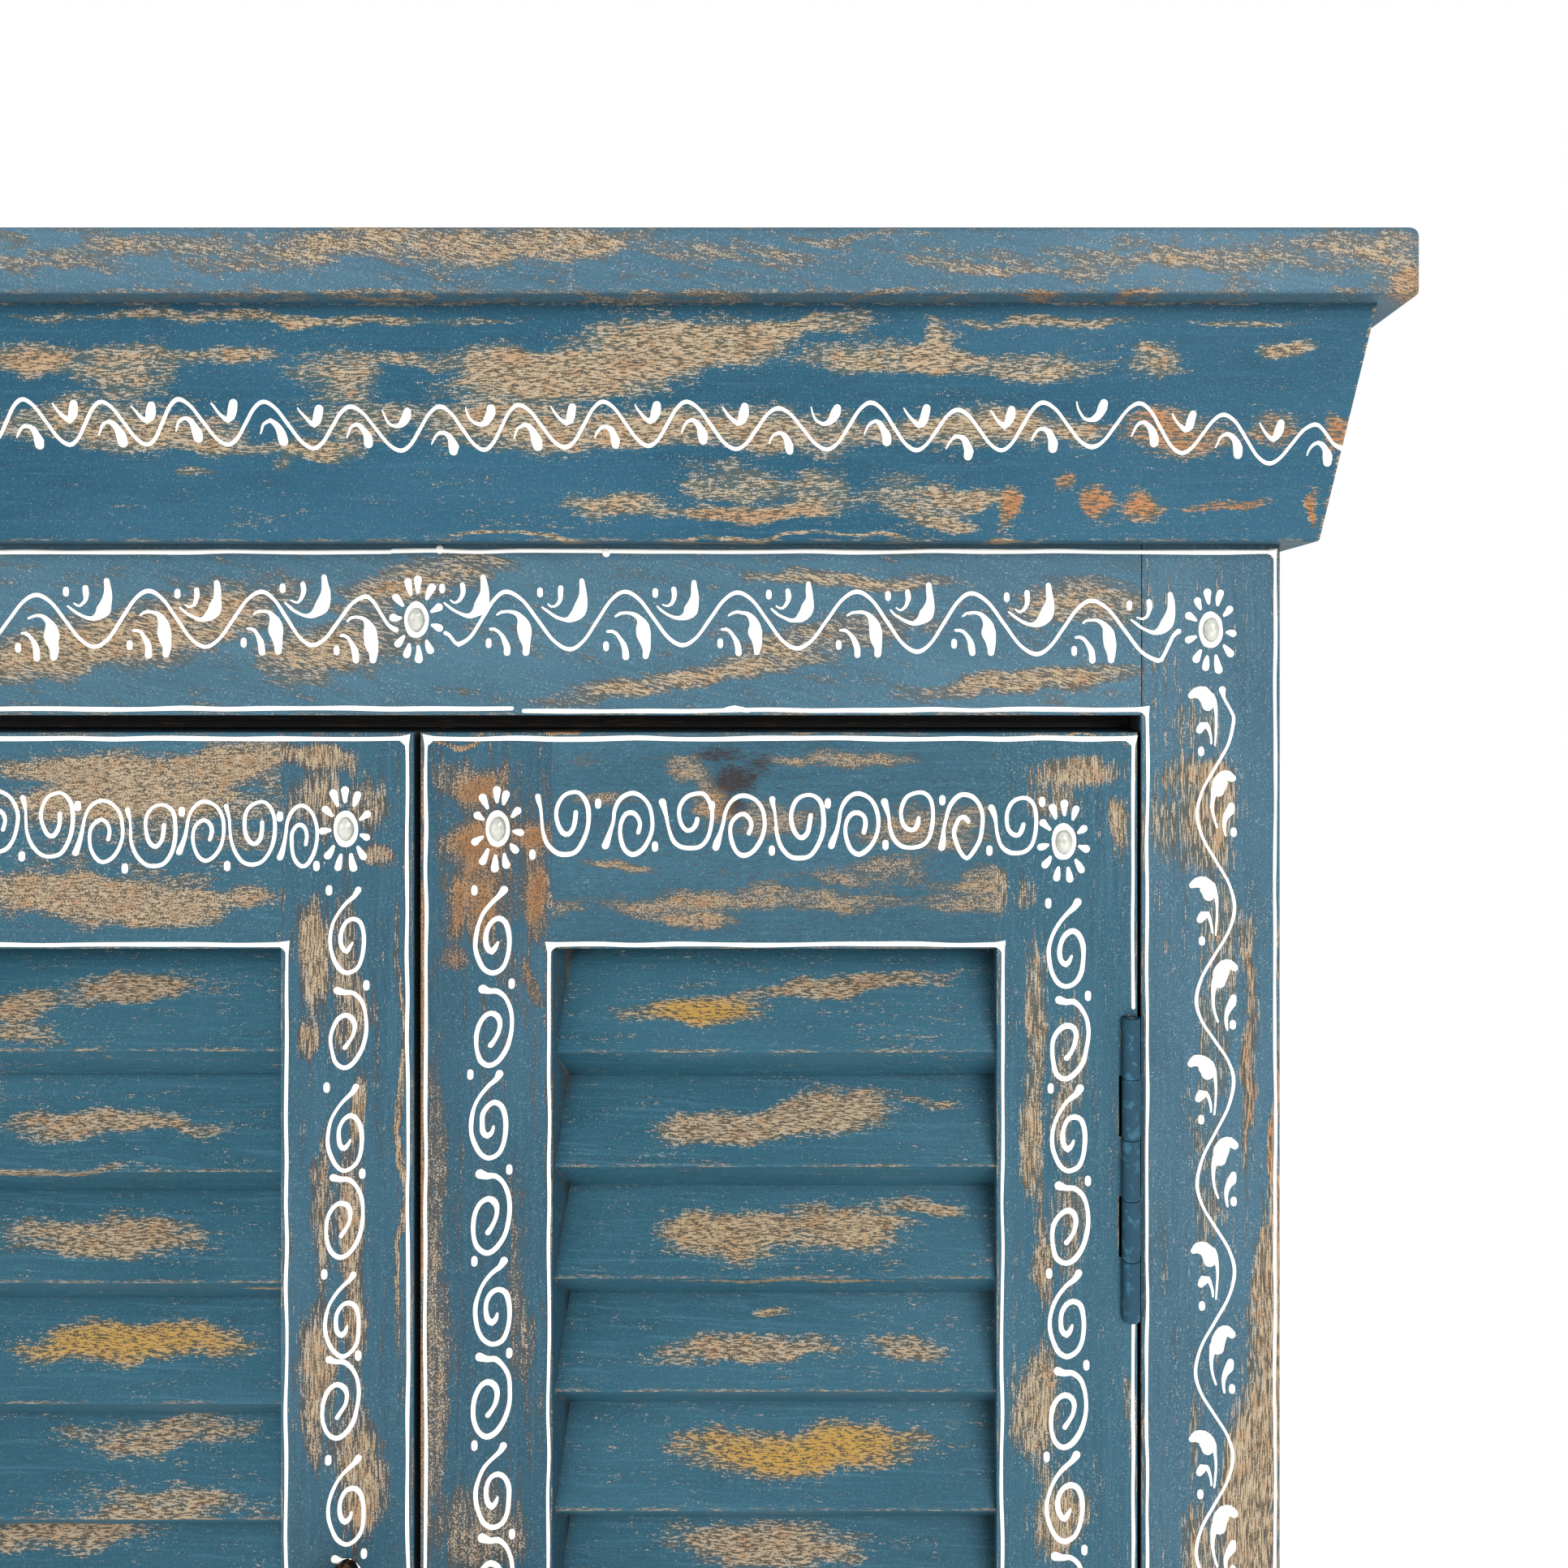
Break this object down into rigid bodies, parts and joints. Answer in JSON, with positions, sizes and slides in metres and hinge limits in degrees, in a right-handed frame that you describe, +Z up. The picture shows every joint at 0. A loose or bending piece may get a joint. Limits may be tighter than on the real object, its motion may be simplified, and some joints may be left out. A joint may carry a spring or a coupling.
{
  "type": "sideboard",
  "caption": "Painted wooden sideboard with a thick top, a slanted cornice, hinged louvred doors in pairs, shelved cupboards and oval glass stones set in the faces.",
  "frame": {"origin": "middle of the footprint, on the floor under the feet", "axes": "+X to the right seen from the front, +Y to the back, +Z up"},
  "size_m": [1.2726, 0.4, 0.92],
  "materials": {
    "painted_wood": "blue chalk-like paint rubbed through to the wood, with raised white lines",
    "plain_wood": "bare sanded hardwood",
    "painted_iron": "painted over with the wood",
    "bare_steel": "bare",
    "dark_iron": "dark, waxed",
    "clear_glass": "polished domes with a pale backing"
  },
  "bodies": {
    "carcass": {"top_board": "painted_wood", "cornice_front": "painted_wood", "cornice_left": "painted_wood", "cornice_right": "painted_wood", "front_post_left": "painted_wood", "front_post_right": "painted_wood", "back_post_left": "painted_wood", "back_post_right": "painted_wood", "centre_stile": "painted_wood", "frame_top_rail": "painted_wood", "frame_bottom_rail": "painted_wood", "side_rails_left": "painted_wood", "side_rails_right": "painted_wood", "side_panel_left": "painted_wood", "side_panel_right": "painted_wood", "back_top_rail": "painted_wood", "back_bottom_rail": "painted_wood", "back_panel": "plain_wood", "floor_board": "plain_wood", "partition": "plain_wood", "shelf_left": "plain_wood", "shelf_right": "plain_wood", "shelf_battens": "plain_wood", "door_stops": "plain_wood", "frame_hinge_leaves": "painted_iron", "hinge_pins": "bare_steel", "frame_hinge_screws": "bare_steel", "frame_stones": "clear_glass"},
    "door_1": {"door_1_hinge_stile": "painted_wood", "door_1_meeting_stile": "painted_wood", "door_1_top_rail": "painted_wood", "door_1_bottom_rail": "painted_wood", "door_1_louvres": "painted_wood", "door_1_knob": "dark_iron", "door_1_hinge_leaves": "painted_iron", "door_1_stones": "clear_glass"},
    "door_2": {"door_2_hinge_stile": "painted_wood", "door_2_meeting_stile": "painted_wood", "door_2_top_rail": "painted_wood", "door_2_bottom_rail": "painted_wood", "door_2_louvres": "painted_wood", "door_2_knob": "dark_iron", "door_2_hinge_leaves": "painted_iron", "door_2_stones": "clear_glass"},
    "door_3": {"door_3_hinge_stile": "painted_wood", "door_3_meeting_stile": "painted_wood", "door_3_top_rail": "painted_wood", "door_3_bottom_rail": "painted_wood", "door_3_louvres": "painted_wood", "door_3_knob": "dark_iron", "door_3_hinge_leaves": "painted_iron", "door_3_stones": "clear_glass"},
    "door_4": {"door_4_hinge_stile": "painted_wood", "door_4_meeting_stile": "painted_wood", "door_4_top_rail": "painted_wood", "door_4_bottom_rail": "painted_wood", "door_4_louvres": "painted_wood", "door_4_knob": "dark_iron", "door_4_hinge_leaves": "painted_iron", "door_4_stones": "clear_glass"}
  },
  "joints": [
    {"name": "door_1_hinge", "type": "hinge", "parent": "carcass", "child": "door_1", "pos_m": [-0.54595, -0.1655, 0.4357], "axis": [0, 0, -1], "range_deg": [0, 170]},
    {"name": "door_2_hinge", "type": "hinge", "parent": "carcass", "child": "door_2", "pos_m": [-0.02915, -0.1655, 0.4357], "axis": [0, 0, 1], "range_deg": [0, 90]},
    {"name": "door_3_hinge", "type": "hinge", "parent": "carcass", "child": "door_3", "pos_m": [0.02915, -0.1655, 0.4357], "axis": [0, 0, -1], "range_deg": [0, 90]},
    {"name": "door_4_hinge", "type": "hinge", "parent": "carcass", "child": "door_4", "pos_m": [0.54595, -0.1655, 0.4357], "axis": [0, 0, 1], "range_deg": [0, 170]}
  ]
}
